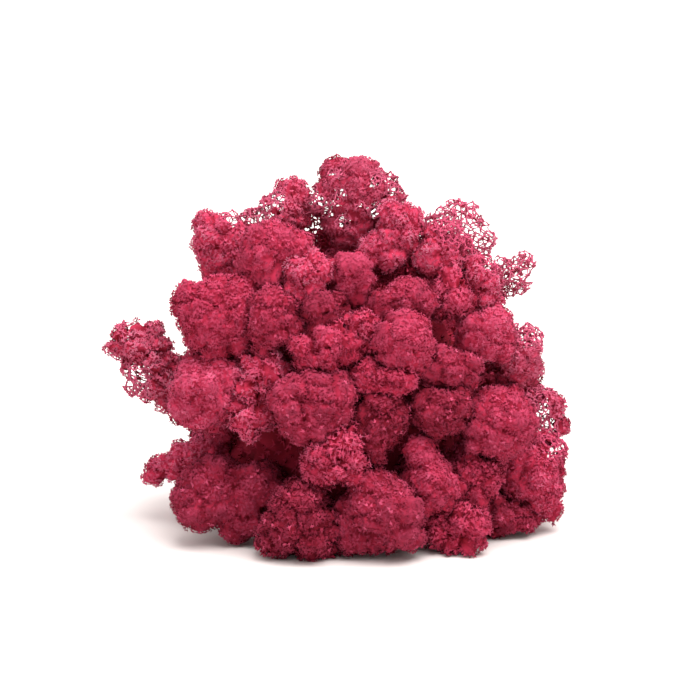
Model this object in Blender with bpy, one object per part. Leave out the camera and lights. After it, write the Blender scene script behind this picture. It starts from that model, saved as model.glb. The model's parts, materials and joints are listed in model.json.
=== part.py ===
"""A clump of dyed reindeer moss: rounded tufts on short stems, matted together in the middle.

The clump is a low dome, cut flat underneath where it was lifted from the ground. Every tuft is
one plant: a lumpy head on a stem that runs in to the matted stems at the heart of the clump.
Lengths are in millimetres until MM turns them into Blender's metres. +X is to the right,
+Y is to the back and +Z is up.
"""

import math
import random

import bmesh
import bpy
from mathutils import Vector

MM = 0.001
SEED = 7

# The dome that the centres of the heads lie on
DOME_HALF_WIDTH = 66
DOME_HALF_DEPTH = 50
DOME_HALF_HEIGHT = 80
WAIST_HEIGHT = 38

# How far a side lobe follows the dome's depth, instead of its own head's
LOBE_DEPTH_SHARE = 0.35

# The matted stems in the middle
TANGLE_CENTRE = Vector((0, 2, 40))
TANGLE_HALF_WIDTH = 44
TANGLE_HALF_DEPTH = 38
TANGLE_HALF_HEIGHT = 52
TANGLE_LUMPINESS = 0.06

# Touching pieces keep this gap
GAP = 0.3

# A head's small knobs, as shares of the head's radius
KNOB_COUNT = 7
KNOB_OFFSET = 0.62
KNOB_RADIUS = 0.50
KNOB_VARIATION = 0.18

# How fast a lobe's flank falls away beside it, and how thick a stem is
LOBE_FLANK = 2.5
STEM_RADIUS_SHARE = 0.38
TANGLE_MARGIN = 0.35

# Segments and rings of a small head, of a big head or one with a side lobe, of a head with
# several side lobes, and of the tangle
SMALL_BALL = (10, 7)
BIG_BALL = (12, 8)
LOBED_BALL = (13, 9)
TANGLE_BALL = (14, 8)
BIG_RADIUS = 9.5

# The tufts seen from the front. Each row gives a name, how far the head stands proud of the
# dome, and its lobes as (across, up, radius), the first one being the head itself.
FRONT_TUFTS = [
    ("crown_tuft_1", -9, [(4, 112, 11.5), (-3, 120, 6.5), (5, 119, 6.5), (13, 113, 7), (-9, 111, 5.5),
                          (2, 103, 8.5)]),
    ("crown_tuft_2", -8, [(-22, 106, 8), (-17, 113, 6.5), (-31, 103, 6), (-15, 105, 5)]),
    ("crown_tuft_3", -2, [(19, 102, 9), (11, 97, 7)]),
    ("crown_tuft_4", -48, [(4, 84, 13), (-10, 96, 6.5)]),
    ("left_shoulder_tuft_1", 0, [(-41, 96, 9.5), (-46, 103, 6.5), (-34, 98, 7)]),
    ("left_shoulder_tuft_2", 2, [(-24, 97, 10.5), (-16, 96, 8)]),
    ("left_shoulder_tuft_3", 4, [(-41, 76, 12.5), (-49, 80, 7.5), (-33, 81, 8.5)]),
    ("right_shoulder_tuft_1", 2, [(31, 98, 9.5), (37, 94, 7)]),
    ("right_shoulder_tuft_2", -10, [(34, 103, 7), (39, 103, 6), (46, 96, 6)]),
    ("right_shoulder_tuft_3", -2, [(57, 85, 6), (62, 89, 4.5)]),
    ("right_shoulder_tuft_4", 2, [(42, 86, 9.5), (49, 87, 5)]),
    ("upper_front_tuft_1", 0, [(-13, 89, 7.5), (-6, 90, 6)]),
    ("upper_front_tuft_2", -2, [(2, 90, 8)]),
    ("upper_front_tuft_3", 2, [(20, 82, 7.5), (13, 81, 6.5), (26, 80, 6)]),
    ("upper_front_tuft_4", 0, [(35, 82, 8), (40, 86, 5.5)]),
    ("upper_front_tuft_5", 2, [(-22, 77, 9), (-26, 70, 6.5)]),
    ("upper_front_tuft_6", -1, [(-6, 78, 7.5)]),
    ("upper_front_tuft_7", -3, [(8, 73, 7.5)]),
    ("middle_front_tuft_1", 4, [(20, 69, 10)]),
    ("middle_front_tuft_2", 2, [(-4, 68, 8), (-11, 66, 6.5)]),
    ("middle_front_tuft_3", 2, [(9, 59, 7.5), (17, 57, 7)]),
    ("middle_front_tuft_4", 0, [(32, 61, 7), (39, 60, 6.5)]),
    ("middle_front_tuft_5", 0, [(-28, 57, 8), (-22, 60, 6), (-30, 42, 8)]),
    ("middle_front_tuft_6", 4, [(-8, 54, 9), (-17, 51, 8), (-12, 45, 8.5), (-2, 51, 6.5)]),
    ("middle_front_tuft_7", 1, [(13, 48, 8), (9, 39, 7.5)]),
    ("middle_front_tuft_8", 0, [(31, 47, 9)]),
    ("left_side_tuft_1", 0, [(-67, 56, 8.5), (-75, 62, 6.5), (-67, 65, 6), (-62, 48, 7), (-72, 49, 5)]),
    ("left_side_tuft_2", 3, [(-46, 51, 12), (-41, 56, 8)]),
    ("left_side_tuft_3", 0, [(-64, 18, 7), (-57, 23, 5.5), (-49, 25, 6.5),
                              (-45, 31, 7.5)]),
    ("right_side_tuft_1", 1, [(46, 71, 9.5), (51, 67, 6.5)]),
    ("right_side_tuft_2", 3, [(57, 61, 9), (62, 66, 5)]),
    ("right_side_tuft_3", 3, [(51, 41, 12), (46, 36, 8)]),
    ("right_side_tuft_4", 0, [(68, 39, 7.5), (70, 33, 6)]),
    ("right_side_tuft_5", 3, [(61, 17, 12), (69, 25, 8), (68, 15, 7)]),
    ("lower_front_tuft_1", 4, [(-2, 34, 10)]),
    ("lower_front_tuft_2", 2, [(28, 23, 9.5), (25, 32, 6)]),
    ("lower_front_tuft_3", 6, [(12, 17, 12), (19, 10, 7.5), (4, 8, 7.5)]),
    ("lower_front_tuft_4", 6, [(39, 9, 9), (31, 8, 7.5)]),
    ("lower_front_tuft_5", 6, [(56, 6, 9), (61, 4, 5.5), (50, 4, 6.5)]),
    ("lower_front_tuft_6", 6, [(-14, 14, 11), (-22, 6, 8), (-8, 4, 7.5)]),
    ("lower_front_tuft_7", 0, [(-44, 18, 11.5), (-51, 18, 7.5), (-28, 20, 8), (-34, 8, 8)]),
    ("lower_front_tuft_8", 1, [(44, 24, 8)]),
]

# The tufts behind, in tiers from the ground up: name, height, head radius, count,
# and the first and last angle around the dome, in degrees from +X towards the back
BACK_TIERS = [
    ("lower_back_tuft", 15, 18.5, 5, 10, 168),
    ("middle_back_tuft", 43, 18, 5, 26, 160),
    ("upper_back_tuft", 66, 16.5, 4, 36, 156),
    ("top_back_tuft", 80, 13.5, 3, 42, 140),
]
BACK_HALF_WIDTH = 49
BACK_HALF_DEPTH = 48
BACK_ACROSS = 4
BACK_ANGLE_JITTER = 5
BACK_HEIGHT_JITTER = 3
BACK_RADIUS_JITTER = 1.5

# Colours as linear red, green and blue, from the pink tips to the crimson stems
TIP_COLOUR = (0.62, 0.075, 0.16)
DEEP_COLOUR = (0.36, 0.012, 0.045)
MOSS_ROUGHNESS = 0.9


class Tuft:
    """One plant: its name, its lobes as (centre, radius) and the point that they grow round."""

    def __init__(self, name, lobes):
        self.name = name
        self.lobes = lobes
        self.side_lobes = len(lobes) - 1
        self.radius = lobes[0][1]
        weight = sum(radius ** 3 for _, radius in lobes)
        self.centre = sum((centre * radius ** 3 for centre, radius in lobes), Vector()) / weight
        self.outward = (self.centre - TANGLE_CENTRE).normalized()
        self.planes = []


def clear_scene():
    for old in list(bpy.data.objects):
        bpy.data.objects.remove(old, do_unlink=True)


def dome_share(across, up):
    """The part of the dome's depth that is left at a place seen from the front."""
    sideways = across / DOME_HALF_WIDTH
    upwards = (up - WAIST_HEIGHT) / DOME_HALF_HEIGHT
    return math.sqrt(max(0.0, 1 - sideways ** 2 - upwards ** 2))


def front_tufts():
    tufts = []
    for name, proud, lobes in FRONT_TUFTS:
        head_share = dome_share(*lobes[0][:2])
        placed = []
        for across, up, radius in lobes:
            share = head_share + LOBE_DEPTH_SHARE * (dome_share(across, up) - head_share)
            depth = -DOME_HALF_DEPTH * share - proud
            placed.append((Vector((across, depth, up)), radius))
        tufts.append(Tuft(name, placed))
    return tufts


def back_tufts(rng):
    tufts = []
    for name, height, radius, count, first_angle, last_angle in BACK_TIERS:
        step = (last_angle - first_angle) / (count - 1)
        for number in range(count):
            angle = math.radians(first_angle + number * step
                                 + rng.uniform(-BACK_ANGLE_JITTER, BACK_ANGLE_JITTER))
            up = height + rng.uniform(-BACK_HEIGHT_JITTER, BACK_HEIGHT_JITTER)
            share = dome_share(0, up)
            centre = Vector((BACK_ACROSS + BACK_HALF_WIDTH * share * math.cos(angle),
                             BACK_HALF_DEPTH * share * math.sin(angle), up))
            size = radius + rng.uniform(-BACK_RADIUS_JITTER, BACK_RADIUS_JITTER)
            tufts.append(Tuft(f"{name}_{number + 1}", [(centre, size)]))
    return tufts


def add_knobs(tuft):
    """Small rounded knobs on the outer side of every lobe, always the same for the same name."""
    rng = random.Random(f"{SEED} {tuft.name}")
    for centre, radius in list(tuft.lobes):
        for _ in range(KNOB_COUNT):
            direction = Vector((rng.gauss(0, 1), rng.gauss(0, 1), rng.gauss(0, 1)))
            direction = (direction.normalized() + 0.6 * tuft.outward).normalized()
            spread = 1 + rng.uniform(-KNOB_VARIATION, KNOB_VARIATION)
            knob_centre = centre + direction * radius * KNOB_OFFSET * spread
            tuft.lobes.append((knob_centre, radius * KNOB_RADIUS * spread))


def part_by_plane(tuft, other):
    """A plane between two tufts, halfway through the lens where their nearest lobes meet."""
    pairs = [(a, b) for a in tuft.lobes for b in other.lobes]
    (here, here_radius), (there, there_radius) = min(
        pairs, key=lambda pair: (pair[0][0] - pair[1][0]).length - pair[0][1] - pair[1][1])
    normal = there - here
    distance = normal.length
    normal.normalize()
    cut = (distance ** 2 + here_radius ** 2 - there_radius ** 2) / (2 * distance)
    level = normal.dot(here) + cut
    room_here = level - normal.dot(tuft.centre)
    room_there = normal.dot(other.centre) - level
    if min(room_here / tuft.radius, room_there / other.radius) < TANGLE_MARGIN:
        normal = other.centre - tuft.centre
        distance = normal.length
        normal.normalize()
        share = tuft.radius / (tuft.radius + other.radius)
        level = normal.dot(tuft.centre) + share * distance
    tuft.planes.append((normal, level - GAP / 2))
    other.planes.append((-normal, -level - GAP / 2))


def tangle_radius(direction):
    """The tangle's own radius in a direction, before the tufts press into it."""
    return 1 / math.sqrt((direction.x / TANGLE_HALF_WIDTH) ** 2
                         + (direction.y / TANGLE_HALF_DEPTH) ** 2
                         + (direction.z / TANGLE_HALF_HEIGHT) ** 2)


def part_from_tangle(tuft):
    """The plane where a tuft's stem ends and the tangle begins, given back for the tangle."""
    distance = (tuft.centre - TANGLE_CENTRE).length
    cut = min(tangle_radius(tuft.outward), distance - TANGLE_MARGIN * tuft.radius)
    level = tuft.outward.dot(TANGLE_CENTRE) + cut
    tuft.planes.append((-tuft.outward, -level - GAP / 2))
    return (tuft.outward, level - GAP / 2)


def lobe_reach(direction, offset, radius):
    """How far a ray from the tuft's centre goes before it leaves one lobe."""
    along = direction.dot(offset)
    aside_squared = max(0.0, offset.length_squared - along ** 2)
    if aside_squared < radius ** 2:
        return along + math.sqrt(radius ** 2 - aside_squared)
    miss = math.sqrt(aside_squared) / radius - 1
    return max(0.0, along) * math.exp(-LOBE_FLANK * miss)


def stem_reach(direction, tuft):
    """How far a ray goes before it leaves the stem, a rod that runs in to the tangle."""
    inward = -direction.dot(tuft.outward)
    if inward <= 0:
        return 0.0
    length = (tuft.centre - TANGLE_CENTRE).length
    aside = math.sqrt(max(1e-6, 1 - inward ** 2))
    return min(length, tuft.radius * STEM_RADIUS_SHARE / aside)


def clipped(centre, direction, reach, planes):
    """The reach, cut short at the first plane that the ray meets and at the ground."""
    for normal, level in planes:
        slope = normal.dot(direction)
        if slope > 1e-9:
            reach = min(reach, (level - normal.dot(centre)) / slope)
    if direction.z < 0:
        reach = min(reach, -centre.z / direction.z)
    return reach


def moss_material(name, shade):
    """One tuft's own colour, between the pink tips and the crimson stems."""
    material = bpy.data.materials.new(name)
    material.use_nodes = True
    shader = material.node_tree.nodes["Principled BSDF"]
    colour = [tip * shade + deep * (1 - shade) for tip, deep in zip(TIP_COLOUR, DEEP_COLOUR)]
    shader.inputs["Base Color"].default_value = (*colour, 1)
    shader.inputs["Roughness"].default_value = MOSS_ROUGHNESS
    shader.inputs["Metallic"].default_value = 0
    return material


def shaped_ball(name, centre, outward, ball_size, reach_along, parent, material):
    """A ball with its poles on the outward axis, each point moved to the reach along its ray."""
    mesh = bpy.data.meshes.new(name)
    turn = outward.to_track_quat("Z", "X")
    segments, rings = ball_size
    ball = bmesh.new()
    bmesh.ops.create_uvsphere(ball, u_segments=segments, v_segments=rings, radius=1)
    for vertex in ball.verts:
        direction = turn @ vertex.co.normalized()
        vertex.co = vertex.co.normalized() * reach_along(direction) * MM
    bmesh.ops.triangulate(ball, faces=ball.faces[:])
    bmesh.ops.recalc_face_normals(ball, faces=ball.faces[:])
    ball.to_mesh(mesh)
    ball.free()
    mesh.shade_smooth()
    mesh.materials.append(material)
    piece = bpy.data.objects.new(name, mesh)
    piece.rotation_mode = "QUATERNION"
    piece.rotation_quaternion = turn
    piece.location = centre * MM
    piece.parent = parent
    bpy.context.scene.collection.objects.link(piece)
    return piece


def make_tuft(tuft, parent, rng):
    ball = BIG_BALL if tuft.radius >= BIG_RADIUS or tuft.side_lobes else SMALL_BALL
    if tuft.side_lobes > 1:
        ball = LOBED_BALL

    def reach_along(direction):
        reach = max(lobe_reach(direction, lobe_centre - tuft.centre, radius)
                    for lobe_centre, radius in tuft.lobes)
        reach = max(reach, stem_reach(direction, tuft))
        return clipped(tuft.centre, direction, reach, tuft.planes)

    material = moss_material(tuft.name, rng.uniform(0.35, 1))
    return shaped_ball(tuft.name, tuft.centre, tuft.outward, ball, reach_along, parent, material)


def make_tangle(planes, parent, rng):
    def reach_along(direction):
        lump = 1 + rng.uniform(-TANGLE_LUMPINESS, TANGLE_LUMPINESS)
        return clipped(TANGLE_CENTRE, direction, tangle_radius(direction) * lump, planes)

    material = moss_material("stem_tangle", 0)
    return shaped_ball("stem_tangle", TANGLE_CENTRE, Vector((0, 0, 1)), TANGLE_BALL,
                       reach_along, parent, material)


def stand_on_origin(parent, pieces):
    """Moves the whole clump so that the middle of its footprint is the origin."""
    bpy.context.view_layer.update()
    points = [piece.matrix_world @ vertex.co for piece in pieces for vertex in piece.data.vertices]
    lowest = [min(point[axis] for point in points) for axis in range(3)]
    highest = [max(point[axis] for point in points) for axis in range(3)]
    parent.location = (-(lowest[0] + highest[0]) / 2, -(lowest[1] + highest[1]) / 2, -lowest[2])
    bpy.context.view_layer.update()


def main():
    clear_scene()
    rng = random.Random(SEED)
    clump = bpy.data.objects.new("clump", None)
    bpy.context.scene.collection.objects.link(clump)

    tufts = front_tufts() + back_tufts(rng)
    for tuft in tufts:
        add_knobs(tuft)
    for index, tuft in enumerate(tufts):
        for other in tufts[index + 1:]:
            part_by_plane(tuft, other)
    tangle_planes = [part_from_tangle(tuft) for tuft in tufts]

    pieces = [make_tuft(tuft, clump, rng) for tuft in tufts]
    pieces.append(make_tangle(tangle_planes, clump, rng))
    stand_on_origin(clump, pieces)


main()
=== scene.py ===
"""The finished look of a clump of dyed reindeer moss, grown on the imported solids.

Every tuft of the clump is one plant. Its solid gives the form, out to the tips. Here each plant
is grown as mesh: twigs that fork three or four ways again and again from the stem out to whorls
of fine tips, which sit on the solid's skin. Lengths are in millimetres until MM turns them into
metres. +X is to the right, +Y is to the back and +Z is up.
"""

import json
import math

import bmesh
import bpy
import numpy as np
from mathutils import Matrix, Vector, noise
from mathutils.bvhtree import BVHTree
from mathutils.kdtree import KDTree


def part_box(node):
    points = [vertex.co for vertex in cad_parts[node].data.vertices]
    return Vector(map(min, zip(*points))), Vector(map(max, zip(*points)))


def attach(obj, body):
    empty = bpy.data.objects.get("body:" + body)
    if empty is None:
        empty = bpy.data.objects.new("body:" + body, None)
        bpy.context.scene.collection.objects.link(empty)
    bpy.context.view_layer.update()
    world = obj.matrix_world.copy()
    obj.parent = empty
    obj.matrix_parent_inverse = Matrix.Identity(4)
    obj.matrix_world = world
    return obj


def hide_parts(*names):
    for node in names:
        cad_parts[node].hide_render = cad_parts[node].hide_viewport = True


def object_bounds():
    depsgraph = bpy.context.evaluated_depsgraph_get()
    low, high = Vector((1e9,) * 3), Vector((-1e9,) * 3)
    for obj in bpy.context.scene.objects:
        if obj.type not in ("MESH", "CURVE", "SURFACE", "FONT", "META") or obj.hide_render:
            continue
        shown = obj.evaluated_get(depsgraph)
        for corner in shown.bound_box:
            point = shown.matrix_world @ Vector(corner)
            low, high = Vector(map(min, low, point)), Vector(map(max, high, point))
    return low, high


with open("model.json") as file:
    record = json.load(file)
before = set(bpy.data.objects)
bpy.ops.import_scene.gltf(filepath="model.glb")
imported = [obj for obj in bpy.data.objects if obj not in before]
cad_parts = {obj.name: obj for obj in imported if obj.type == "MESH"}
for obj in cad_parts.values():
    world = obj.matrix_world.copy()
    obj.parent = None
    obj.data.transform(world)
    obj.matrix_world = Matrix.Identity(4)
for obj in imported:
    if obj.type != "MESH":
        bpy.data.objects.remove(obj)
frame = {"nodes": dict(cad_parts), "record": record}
cad_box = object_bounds()

MM = 0.001
SEED = 11

# The camera, where the photograph was taken from
CAMERA_DISTANCE = 0.75
CAMERA_ELEVATION = math.radians(9.5)
CAMERA_AIM = Vector((0.0047, 0.0018, 0.0592))
FIELD_OF_VIEW = math.radians(18.3)
SENSOR_WIDTH = 36.0

# The studio: how bright the sky is low down, up to the height where it starts to rise, and
# overhead, the lamp, and the floor with its drop below the clump
SKY_LOW = 0.78
SKY_RISES_AT = 0.1
SKY_OVERHEAD = 1.75
LAMP_STRENGTH = 3.6
LAMP_SOFTNESS = math.radians(50)
LAMP_DIRECTION = (0.25, -0.35, 1.0)
FLOOR_REACH = 60.0
FLOOR_DROP = 0.2
# The floor is faintly warm; the tint shows only in its shadow, where it also stands in for red
# light thrown by the moss: painted reflection
FLOOR_COLOUR = (0.79, 0.73, 0.705)
FLOOR_ROUGHNESS = 0.7

# Each kind of moss: the colours of its palest tips, of its tips, halfway down and of its stems
MOSS_COLOURS = {
    "dense_moss": ((0.585, 0.27, 0.355), (0.585, 0.086, 0.172),
                   (0.50, 0.032, 0.080), (0.24, 0.007, 0.018)),
    "open_moss": ((0.60, 0.31, 0.39), (0.60, 0.12, 0.21),
                  (0.47, 0.034, 0.080), (0.23, 0.007, 0.018)),
    "matted_stems": ((0.6, 0.14, 0.24), (0.6, 0.06, 0.13),
                     (0.43, 0.022, 0.056), (0.2, 0.006, 0.014)),
}

# The levels where those colours lie. A level goes from 0 for stems to 1 for the palest tips.
# The darker colours further in are partly the moss's own colour and partly painted shade
STEM_AT = 0.1
MIDDLE_AT = 0.62
TIP_AT = 0.93

# What the colours are multiplied by on twigs of the darkest tone and of a common one, what tone
# that is, and how rough and shiny the moss is
DARK_TINT = (0.47, 0.37, 0.39)
COMMON_TINT = (0.82, 0.70, 0.74)
COMMON_AT = 0.6
MOSS_ROUGHNESS = 0.85
MOSS_SHINE = 0.1

# How a plant grows, by kind. Distances are in millimetres and angles in degrees.
# spacing: between whorls; knob: across a small knob; crevice: how deep the skin folds between
# knobs; head: across each of the heads of a big plant, or 0; pits: share of the skin left open;
# lumps: how uneven the skin is; tip and spread: length and lean of a whorl's arms; mat: how far
# below the tips the mat of inner twigs begins, or 0 for an open plant; depth: the mat's level;
# heart: how far a whorl's middle stands out; wisps: share of whorls with a fine long twig;
# drawn: the most whorls that a twig may carry and still be drawn; tone: how much paler it is than
# the others
HABITS = {
    "velvet": {"spacing": 0.87, "knob": 7.5, "crevice": 1.5, "head": 0, "pits": 0.07, "lumps": 2.4,
               "tip": 1.0, "spread": 50, "mat": 0.75, "depth": 0.7, "heart": 0.4, "wisps": 0.2,
               "drawn": 0, "tone": 0.04},
    "knobbly": {"spacing": 0.93, "knob": 7.0, "crevice": 1.7, "head": 0, "pits": 0.09, "lumps": 2.4,
                "tip": 1.05, "spread": 48, "mat": 0.85, "depth": 0.62, "heart": 0.4, "wisps": 0.3,
                "drawn": 1, "tone": 0.04},
    "pitted": {"spacing": 0.92, "knob": 6.0, "crevice": 2.1, "head": 0, "pits": 0.18, "lumps": 2.4,
               "tip": 1.15, "spread": 46, "mat": 1.2, "depth": 0.56, "heart": 0.45, "wisps": 0.45,
               "drawn": 3, "tone": 0.08},
    "open": {"spacing": 1.1, "knob": 6.0, "crevice": 1.2, "head": 0, "pits": 0, "lumps": 1.5,
             "tip": 0.8, "spread": 60, "mat": 0, "depth": 0.5, "heart": 0.2, "wisps": 0.3,
             "drawn": math.inf, "tone": 0.1},
    "back": {"spacing": 1.42, "knob": 7.0, "crevice": 1.6, "head": 15.0, "pits": 0.08,
             "lumps": 2.4, "tip": 1.5, "spread": 49, "mat": 0.85, "depth": 0.54, "heart": 0.4,
             "wisps": 0.4, "drawn": 0, "tone": 0.03},
    "matted": {"spacing": 2.1, "knob": 6.0, "crevice": 2.0, "head": 12.0, "pits": 0.1,
               "lumps": 2.5, "tip": 1.9, "spread": 46, "mat": 1.2, "depth": 0.5, "heart": 0.3,
               "wisps": 0.4, "drawn": 0, "tone": 0},
}

# The kind of each front plant; the others in front are knobbly
KINDS = {
    "velvet": ["left_side_tuft_2", "middle_front_tuft_1", "right_side_tuft_1", "lower_front_tuft_3",
               "lower_front_tuft_2", "middle_front_tuft_6", "upper_front_tuft_3", "crown_tuft_1",
               "right_side_tuft_3", "left_shoulder_tuft_2", "middle_front_tuft_4",
               "lower_front_tuft_7", "right_side_tuft_2", "upper_front_tuft_2"],
    "pitted": ["lower_front_tuft_1", "lower_front_tuft_4", "lower_front_tuft_6",
               "middle_front_tuft_5", "lower_front_tuft_8", "upper_front_tuft_7",
               "upper_front_tuft_4", "left_side_tuft_1"],
    "open": ["right_shoulder_tuft_3"],
}

# Where the light shows through a plant, as (across, up, radius, net) in its middle plane
OPENINGS = {
    "crown_tuft_1": [(-8, 111, 4.4, "fine"), (-3, 109, 3.4, "fine"), (3, 104, 3.0, "fine"),
                     (15, 108, 4.4, "fine"), (19, 116, 3.1, "fine"), (0, 121, 2.4, "fine"),
                     (13, 118, 2.7, "fine"), (8, 110, 1.7, "fine"), (1, 114, 2.4, "fine")],
    "crown_tuft_2": [(-27, 108, 6.1, "fine"), (-33, 108, 4.1, "wide"), (-19, 112, 3.1, "fine")],
    "crown_tuft_4": [(-8, 95, 6.1, "fine"), (-9, 105, 4.8, "fine")],
    "left_shoulder_tuft_1": [(-35, 107, 4.1, "wide")],
    "right_shoulder_tuft_1": [(37, 106, 6.8, "wide"), (45, 99, 6.1, "wide"),
                              (51, 98, 4.8, "wide")],
    "right_shoulder_tuft_2": [(38, 103, 8.5, "sparse"), (48, 98, 10.0, "sparse")],
    "right_shoulder_tuft_4": [(52, 95, 4.4, "wide")],
    "right_side_tuft_2": [(65, 69, 5.8, "wide")],
    "right_side_tuft_4": [(69, 40, 4.8, "fine"), (72, 32, 4.8, "fine")],
    "right_side_tuft_5": [(74, 28, 3.4, "fine")],
    "left_side_tuft_1": [(-71, 48, 7.5, "fine"), (-72, 66, 1.7, "fine")],
    "left_side_tuft_3": [(-48, 33, 4.1, "fine")],
}

# How uneven the edge of an opening is, and how many waves it has in a metre; how fast openings
# sink on their way to the back, and how much wider they are there
RAGGEDNESS = 0.5
RAGGED_WAVES = 420
OPENING_SLOPE = 0.167
BACK_WIDENING = 1.6

# The nets of twigs in the openings: between whorls, twig radius, and each layer's distance
# below the skin and share of whorls
NETS = {
    "fine": (1.3, 0.24, [(0.0, 1.0)]),
    "wide": (1.6, 0.22, [(0.0, 1.0), (2.6, 0.4)]),
    "sparse": (1.8, 0.24, [(0.0, 1.0)]),
    "open": (1.7, 0.2, [(0.0, 1.0), (2.4, 0.5)]),
}

# How many neighbours a whorl of a net is tied to, how many spacings away they may be, the share
# of whorls that a stem leads to, the tone of those stems, and how much paler than its plant the
# net is
NET_TIES = 3
NET_REACH = 2.4
NET_STEMS = 0.2
STEM_TONE = 0.5
NET_PALER = 0.12

# How uneven a net is in depth, in millimetres, and how much more so with each millimetre below
# the skin; the places tried for whorls, and the fewest that are enough for a net
NET_UNEVEN = 0.5
NET_UNEVEN_BELOW = 0.4
NET_TRIALS = 8000
NET_FEWEST = 8

# The twigs of a net: how far they bend, their least and greatest radius as shares of the net's
# own, and the radius at their ends and at the bend as shares of that
NET_BEND = 0.3
NET_RADII = (0.8, 1.4)
NET_END_SHARE = 1.15
NET_BEND_SHARE = 0.8

# The level of a net's twigs, how much it falls with each layer, and how much darker each layer's
# whorls are: painted shade for the layers lying deeper
NET_LEVEL = 0.9
NET_LEVEL_STEP = 0.1
NET_SHADE_STEP = 0.4

# The whorls of a net, with the values that the habits give the others, the length of the arms of
# its small buds, and the share of bends that have one
NET_WHORL = {"tip": 0.8, "spread": 60, "depth": 0.78, "heart": 0.25}
NET_BUD_TIP = 0.55
NET_BUDS = 0.5

# The tone of a plant's tips from 0 to 1: its least and greatest at mid height, how much paler
# it is painted at the top than at the ground, as painted light from above and painted shade below,
# and the plants that are paler or darker by a step
TONE = (0.5, 0.56)
PAINTED_TOP_LIGHT = 0.25
TONE_STEPS = [
    (0.5, ["top_back_tuft_1", "upper_back_tuft_1", "right_shoulder_tuft_4",
           "left_shoulder_tuft_1", "middle_front_tuft_5", "left_side_tuft_1",
           "left_side_tuft_3", "upper_front_tuft_1", "crown_tuft_3", "right_shoulder_tuft_1"]),
    (0.2, ["upper_front_tuft_7", "right_side_tuft_1", "left_side_tuft_2", "right_side_tuft_2",
           "right_side_tuft_5", "lower_front_tuft_1", "upper_front_tuft_4", "crown_tuft_2",
           "right_shoulder_tuft_2", "right_shoulder_tuft_3", "right_side_tuft_4"]),
    (-0.25, ["lower_front_tuft_3", "lower_front_tuft_5", "lower_front_tuft_7",
             "middle_front_tuft_4", "middle_front_tuft_6",
             "upper_front_tuft_3", "upper_front_tuft_5"]),
    (-0.5, ["lower_front_tuft_6", "middle_front_tuft_7", "middle_front_tuft_8",
            "middle_back_tuft_1", "upper_front_tuft_6"]),
]

# The share of pale whorls on a plant, how much more of them a paler plant has, and how much
# lighter they and all whorls of a paler plant are
FLECKS = 0.04
PALER_FLECKS = 1.0
FLECK_LIGHT = 0.3
PALER_LIGHT = 0.5

# The darkest and palest tone, and how far tones spread about their mean: those of the mat, of
# the knobs of a plant, of the whorls on a knob, of its twigs, of a net and of a veil
DARKEST = 0.02
PALEST = 0.98
MAT_SPREAD = 0.04
KNOB_SPREAD = 0.06
WHORL_SPREAD = 0.05
TWIG_SPREAD = 0.08
NET_SPREAD = 0.1
VEIL_SPREAD = 0.12

# Dark stems that show in the gaps between heads, their darkness partly painted shade of the gap,
# as (across, up, half width, half height) in each plant's middle plane, seen from the front
VEILS = {
    "crown_tuft_4": [(-8, 100, 5.5, 9.0), (-2, 97, 4.0, 6.0)],
    "crown_tuft_3": [(25, 95, 4.5, 7.0), (18, 90, 5.5, 4.5)],
}

# The stems of a veil: the places tried for their ends, the distance between ends, half the
# veil's depth, the stems' radius, its least and greatest share, how much they taper, their dark
# tone, partly painted shade, and the least and greatest level of an end
VEIL_TRIALS = 4000
VEIL_SPACING = 1.35
VEIL_DEPTH = 3.0
VEIL_RADIUS = 0.27
VEIL_RADII = (0.7, 1.4)
VEIL_TAPER = 0.85
VEIL_SHADE_TONE = 0.25
VEIL_LEVELS = (0.45, 0.75)

# How much the tone changes from place to place, over how many millimetres, how much painted
# shade darkens moss that gets little light, and how much paler and how wide the rims of pits are
MOTTLING = 0.15
MOTTLE_SIZE = 2.2
PAINTED_SHADE_TONE = 0.22
RIM_TONE = 0.16
RIM_WIDTH = 0.15

# How closely a whorl's surface faces the way the whorl does, from 0 to 1
SOFTNESS = 0.94

# A whorl: its arms, how unevenly they stand, how much their lean varies in degrees, their least
# and greatest length and its middle's height as shares of the plant's own, and how far the skin
# between two arms reaches, as a share of an arm
ARMS = 5
ARM_UNEVEN = 0.15
LEAN_VARIATION = 14
ARM_LENGTHS = (0.6, 1.3)
HEART_HEIGHTS = (0.3, 1.4)
WEB_SHARE = 0.36

# The level of a whorl's middle and of the ends of its arms, and how much more than the mat's the
# level of the skin between two arms is
HEART_LEVEL = 0.8
ARM_LEVEL = 0.93
WEB_ABOVE_MAT = 0.04

# Random places tried for each whorl of a plant, how far below the tips the whorls sit as a share
# of an arm, and how much they turn along their twig
TRIALS_PER_WHORL = 3.4
WHORL_SINK = 0.5
TWIG_PULL = 0.2

# Branch radius in millimetres: the finest twig, how it grows with the whorls it carries, its
# share at the far end, and that of a last twig's end under its whorl
TWIG_RADIUS = 0.16
THICKENING = 0.30
TWIG_TAPER = 0.8
LAST_TWIG_SHARE = 1.2

# How far towards its whorls a branch and the trunk reach, how much that varies, the fewest ways
# that a branch forks, and how often the groups of whorls that it forks to are evened out
FORK_SHARE = 0.45
TRUNK_SHARE = 0.42
FORK_VARIATION = (0.85, 1.15)
FEWEST_WAYS = 3
SPLIT_ROUNDS = 3

# The level of a last twig, how much it falls with each fork, how many ways such a fork has, how
# much lower the near end of a twig is, and the lowest level of all
# Lower levels are darker: partly the stems' own colour, partly painted shade deeper in the plant
TWIG_LEVEL = 0.7
FORK_LEVEL_STEP = 0.11
FORK_WAYS = 4
TWIG_LEVEL_STEP = 0.08
LOWEST_LEVEL = 0.02

# The sides of a branch, and those of one that carries many whorls, and how many are many
THIN_SIDES = 3
THICK_SIDES = 6
MANY_WHORLS = 30

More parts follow.
